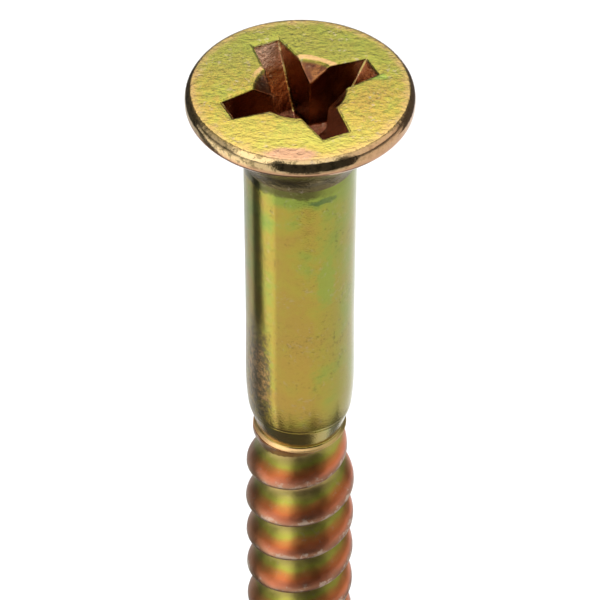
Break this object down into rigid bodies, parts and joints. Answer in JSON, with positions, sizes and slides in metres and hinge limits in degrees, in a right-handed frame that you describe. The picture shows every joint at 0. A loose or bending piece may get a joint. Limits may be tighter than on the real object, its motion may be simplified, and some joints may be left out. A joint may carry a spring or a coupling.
{
  "type": "wood screw",
  "caption": "Countersunk wood screw with a cross recess, a plain shank, a coarse rolled thread and a gimlet point.",
  "frame": {"origin": "centre of the head's flat top face, at the mouth of the driver recess", "axes": "+Z along the screw's axis, out of the head; the screw hangs down to z = -0.050. The recess's wings lie 25.6 degrees round from +X and +Y"},
  "size_m": [0.0094, 0.0094, 0.05],
  "materials": {
    "head_plating": "yellow zinc plate, satin with a fine ripple",
    "shank_plating": "yellow zinc plate, smooth",
    "thread_plating": "yellow zinc plate with a copper cast, smooth"
  },
  "bodies": {
    "root": {"head": "head_plating", "shank": "shank_plating", "shoulder": "shank_plating", "thread": "thread_plating", "point": "thread_plating"}
  },
  "joints": []
}
